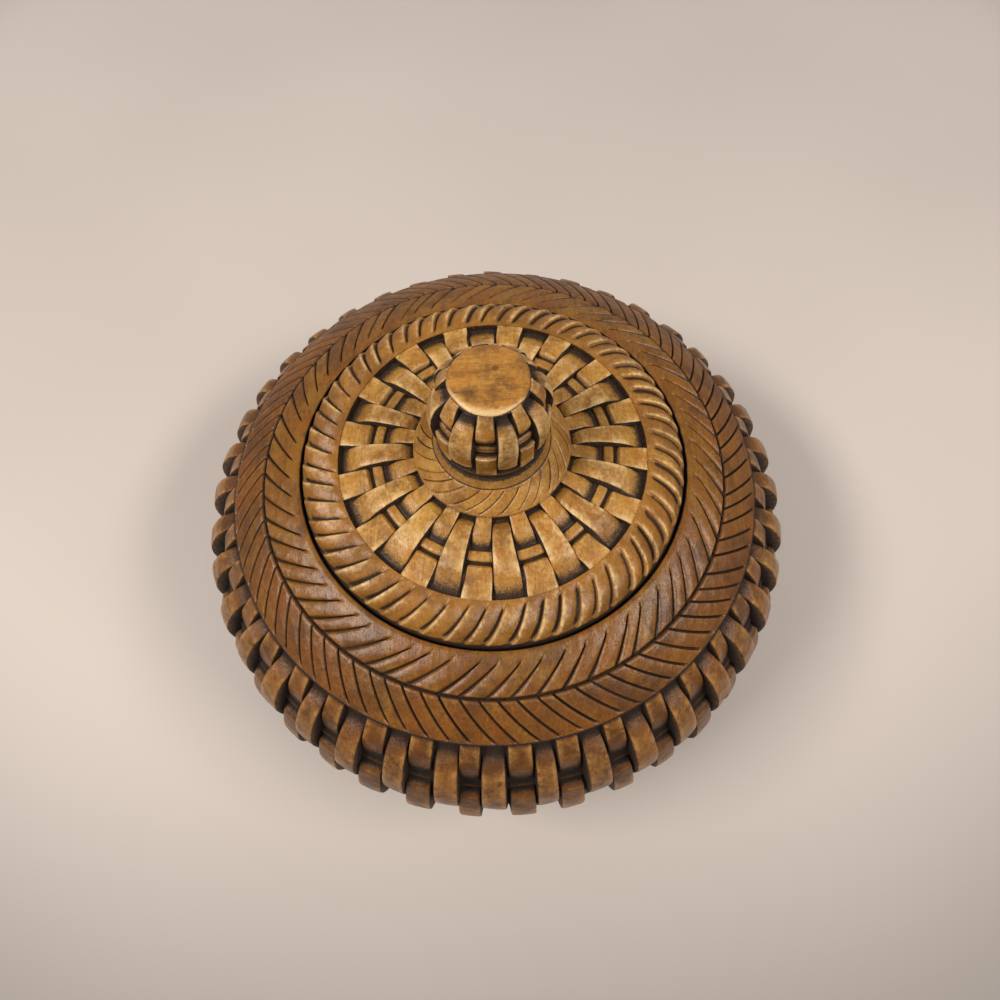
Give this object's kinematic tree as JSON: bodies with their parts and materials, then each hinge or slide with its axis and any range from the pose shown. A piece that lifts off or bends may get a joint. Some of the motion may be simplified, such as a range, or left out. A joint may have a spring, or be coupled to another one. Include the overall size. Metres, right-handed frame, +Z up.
{
  "type": "carved lidded trinket box",
  "caption": "Round wooden trinket box carved all over as basket weave, with a lift-off lid, a rope-twist rim and a woven ball knob.",
  "frame": {"origin": "centre of the flat base, on the surface the box stands on", "axes": "+Z up along the axis of the box, -Y towards the viewer of the picture, +X to the right"},
  "size_m": [0.12, 0.12, 0.0829],
  "materials": {
    "bowl_wood": "dark stained and waxed, nearly black in the carved recesses",
    "lid_wood": "golden stained and waxed, dark in the carved recesses",
    "knob_wood": "golden stained and waxed, worn pale on the top edge"
  },
  "bodies": {
    "bowl": {"bowl": "bowl_wood"},
    "lid": {"lid": "lid_wood", "knob": "knob_wood"}
  },
  "joints": [
    {"name": "lid_lift", "type": "slide", "parent": "bowl", "child": "lid", "axis": [0, 0, 1], "range_m": [0, 0.03]}
  ]
}
